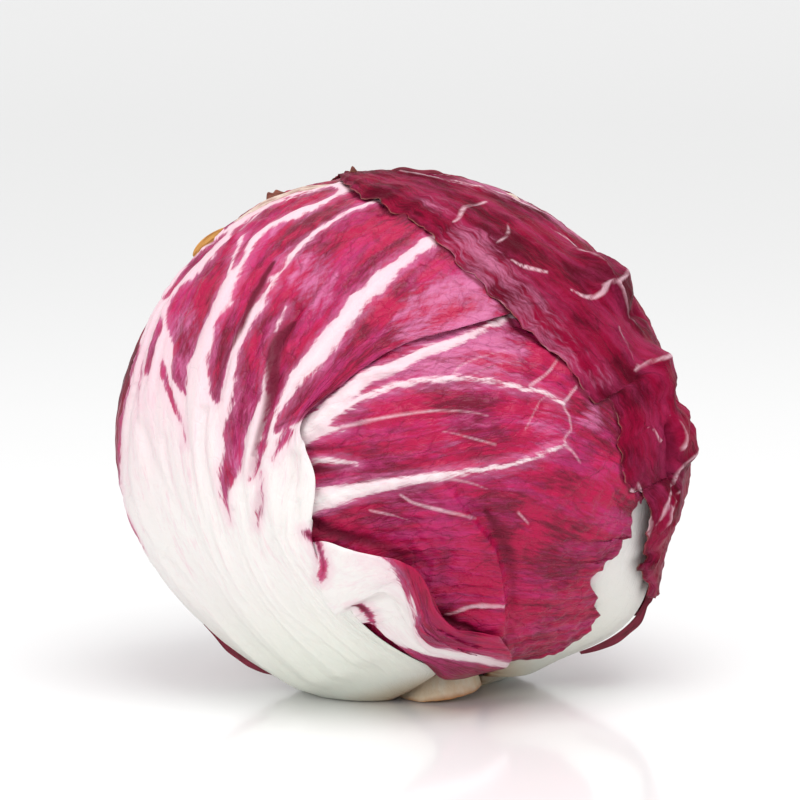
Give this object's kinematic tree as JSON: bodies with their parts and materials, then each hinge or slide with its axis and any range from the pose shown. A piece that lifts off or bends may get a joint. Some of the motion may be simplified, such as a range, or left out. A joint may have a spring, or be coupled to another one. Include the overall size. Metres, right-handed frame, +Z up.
{
  "type": "radicchio head",
  "caption": "Round head of red radicchio, its veined leaves wrapped one over another from a short cut stump, at rest on its base.",
  "frame": {"origin": "middle of the head's box, on the surface that the head rests on", "axes": "+Z up, -Y towards the viewer of the picture, who sees the cut stump at the lower middle, and +X to that viewer's right"},
  "size_m": [0.1224, 0.1134, 0.1081],
  "materials": {
    "red_blade": "waxy dark crimson leaf with a fine vein net and white ribs",
    "white_rib": "waxy white rib, crimson where the blade begins",
    "pale_inner_leaf": "satin pink and white inner leaf",
    "cut_stump": "dry cut, cream with a browned rim"
  },
  "bodies": {
    "root": {"leaf_front_left": "white_rib", "leaf_front_right": "red_blade", "leaf_crown": "red_blade", "leaf_right": "white_rib", "leaf_left": "red_blade", "leaf_back": "red_blade", "inner_leaf_1": "pale_inner_leaf", "inner_leaf_2": "pale_inner_leaf", "inner_leaf_3": "pale_inner_leaf", "inner_leaf_4": "pale_inner_leaf", "heart": "pale_inner_leaf", "stem": "cut_stump"}
  },
  "joints": []
}
